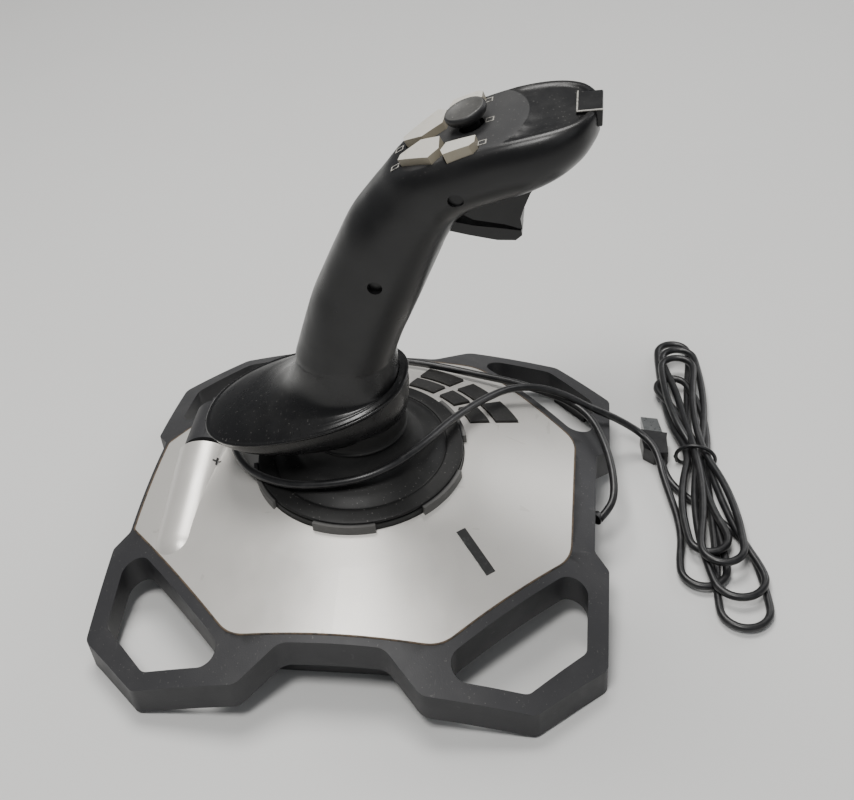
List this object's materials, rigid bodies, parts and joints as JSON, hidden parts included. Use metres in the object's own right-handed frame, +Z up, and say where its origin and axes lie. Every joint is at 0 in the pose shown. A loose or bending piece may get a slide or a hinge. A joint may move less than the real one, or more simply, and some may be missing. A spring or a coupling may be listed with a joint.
{
  "type": "flight joystick",
  "caption": "Desktop flight joystick with a sprung twist handle, trigger, hat switch, throttle wheel and a domed four-footed base.",
  "frame": {"origin": "middle of the base's footprint, on the table", "axes": "+Z up, the user sits at -Y, the stick leans towards +Y, +X is the user's right"},
  "size_m": [0.2525, 0.2914, 0.2204],
  "materials": {
    "casing_black": "fine textured",
    "cover_silver": "satin pearl paint",
    "rubber_black": "satin",
    "ring_grey": "satin",
    "key_grey": "semi-gloss",
    "throttle_black": "satin",
    "steel": "brushed",
    "board_green": "satin",
    "mechanism_plastic": "satin",
    "handle_black": "soft semi-gloss",
    "control_dark": "finely rough",
    "badge_silver": "satin",
    "cord_black": "satin"
  },
  "bodies": {
    "base": {"base_frame": "casing_black", "top_plate": "cover_silver", "base_tub": "casing_black", "base_cover": "casing_black", "tab_ring": "ring_grey", "boot": "rubber_black", "throttle_axle": "steel", "throttle_stand": "casing_black", "key_board": "board_green", "main_board": "board_green", "ballast_plate": "steel", "badge": "badge_silver", "gimbal_bracket": "steel", "pitch_sensor": "mechanism_plastic", "cord_tube": "cord_black", "strain_relief": "cord_black", "cord_hank": "cord_black", "plug_body": "cord_black", "plug_shell": "steel", "foot_pad_front_right": "rubber_black", "foot_pad_front_left": "rubber_black", "foot_pad_user_left": "rubber_black", "foot_pad_user_right": "rubber_black", "base_screw_front_right": "steel", "base_screw_front_left": "steel", "base_screw_user_left": "steel", "base_screw_user_right": "steel"},
    "yoke": {"gimbal_yoke": "mechanism_plastic", "roll_sensor": "mechanism_plastic"},
    "stick": {"stick_shaft": "mechanism_plastic", "twist_sensor": "mechanism_plastic", "centring_spring": "steel"},
    "handle": {"palm_rest": "handle_black", "twist_bush": "mechanism_plastic", "twist_spring": "steel", "handle_right": "handle_black", "handle_left": "handle_black", "head_cap": "control_dark", "nose_block": "handle_black", "finger_rest": "handle_black", "trigger_pin": "steel", "handle_screw_upper": "steel", "handle_screw_lower": "steel"},
    "trigger": {"trigger": "handle_black"},
    "hat_cross": {"hat_pivot": "mechanism_plastic"},
    "hat": {"hat_cap": "control_dark"},
    "throttle": {"throttle": "throttle_black"},
    "thumb": {"thumb_button": "key_grey"},
    "base_key_1": {"base_button_1": "key_grey"},
    "base_key_2": {"base_button_2": "key_grey"},
    "base_key_3": {"base_button_3": "key_grey"},
    "base_key_4": {"base_button_4": "key_grey"},
    "base_key_5": {"base_button_5": "key_grey"},
    "base_key_6": {"base_button_6": "key_grey"},
    "top_key_rear_right": {"top_button_rear_right": "key_grey"},
    "top_key_rear_left": {"top_button_rear_left": "key_grey"},
    "top_key_front_right": {"top_button_front_right": "key_grey"},
    "top_key_front_left": {"top_button_front_left": "key_grey"}
  },
  "joints": [
    {"name": "pitch", "type": "hinge", "parent": "base", "child": "yoke", "pos_m": [0, 0, 0.042], "axis": [1, 0, 0], "range_deg": [-15, 15], "stiffness_Nm_per_rad": 5, "deforming": ["boot"]},
    {"name": "roll", "type": "hinge", "parent": "yoke", "child": "stick", "pos_m": [0, 0, 0.042], "axis": [0, 1, 0], "range_deg": [-15, 15], "stiffness_Nm_per_rad": 5, "deforming": ["boot"]},
    {"name": "twist", "type": "hinge", "parent": "stick", "child": "handle", "pos_m": [0, 0, 0.09], "axis": [0, 0, 1], "range_deg": [-20, 20], "stiffness_Nm_per_rad": 0.6},
    {"name": "trigger_pull", "type": "hinge", "parent": "handle", "child": "trigger", "pos_m": [0, 0.076, 0.198], "axis": [1, 0, 0], "range_deg": [-8, 0], "stiffness_Nm_per_rad": 0.4, "springref_deg": 5.73},
    {"name": "hat_fore_aft", "type": "hinge", "parent": "handle", "child": "hat_cross", "pos_m": [0, 0.05717, 0.20459], "axis": [1, 0, 0], "range_deg": [-8, 8], "stiffness_Nm_per_rad": 0.05},
    {"name": "hat_side", "type": "hinge", "parent": "hat_cross", "child": "hat", "pos_m": [0, 0.05717, 0.20459], "axis": [0, 0.9385, 0.3453], "range_deg": [-8, 8], "stiffness_Nm_per_rad": 0.05},
    {"name": "throttle_turn", "type": "hinge", "parent": "base", "child": "throttle", "pos_m": [-0.0253, -0.075, 0.0335], "axis": [1, 0, 0], "range_deg": [-35, 35]},
    {"name": "thumb_press", "type": "slide", "parent": "handle", "child": "thumb", "axis": [1, 0, 0], "range_m": [0, 0.0015], "stiffness_N_per_m": 400, "springref_m": -0.0005},
    {"name": "base_key_1_press", "type": "slide", "parent": "base", "child": "base_key_1", "axis": [0, 0, -1], "range_m": [0, 0.0012], "stiffness_N_per_m": 400, "springref_m": -0.0005},
    {"name": "base_key_2_press", "type": "slide", "parent": "base", "child": "base_key_2", "axis": [0, 0, -1], "range_m": [0, 0.0012], "stiffness_N_per_m": 400, "springref_m": -0.0005},
    {"name": "base_key_3_press", "type": "slide", "parent": "base", "child": "base_key_3", "axis": [0, 0, -1], "range_m": [0, 0.0012], "stiffness_N_per_m": 400, "springref_m": -0.0005},
    {"name": "base_key_4_press", "type": "slide", "parent": "base", "child": "base_key_4", "axis": [0, 0, -1], "range_m": [0, 0.0012], "stiffness_N_per_m": 400, "springref_m": -0.0005},
    {"name": "base_key_5_press", "type": "slide", "parent": "base", "child": "base_key_5", "axis": [0, 0, -1], "range_m": [0, 0.0012], "stiffness_N_per_m": 400, "springref_m": -0.0005},
    {"name": "base_key_6_press", "type": "slide", "parent": "base", "child": "base_key_6", "axis": [0, 0, -1], "range_m": [0, 0.0012], "stiffness_N_per_m": 400, "springref_m": -0.0005},
    {"name": "top_key_rear_right_press", "type": "slide", "parent": "handle", "child": "top_key_rear_right", "axis": [0, 0.4462, -0.8949], "range_m": [0, 0.0012], "stiffness_N_per_m": 400, "springref_m": -0.0005},
    {"name": "top_key_rear_left_press", "type": "slide", "parent": "handle", "child": "top_key_rear_left", "axis": [0, 0.4462, -0.8949], "range_m": [0, 0.0012], "stiffness_N_per_m": 400, "springref_m": -0.0005},
    {"name": "top_key_front_right_press", "type": "slide", "parent": "handle", "child": "top_key_front_right", "axis": [0, 0.36, -0.933], "range_m": [0, 0.0012], "stiffness_N_per_m": 400, "springref_m": -0.0005},
    {"name": "top_key_front_left_press", "type": "slide", "parent": "handle", "child": "top_key_front_left", "axis": [0, 0.36, -0.933], "range_m": [0, 0.0012], "stiffness_N_per_m": 400, "springref_m": -0.0005}
  ]
}
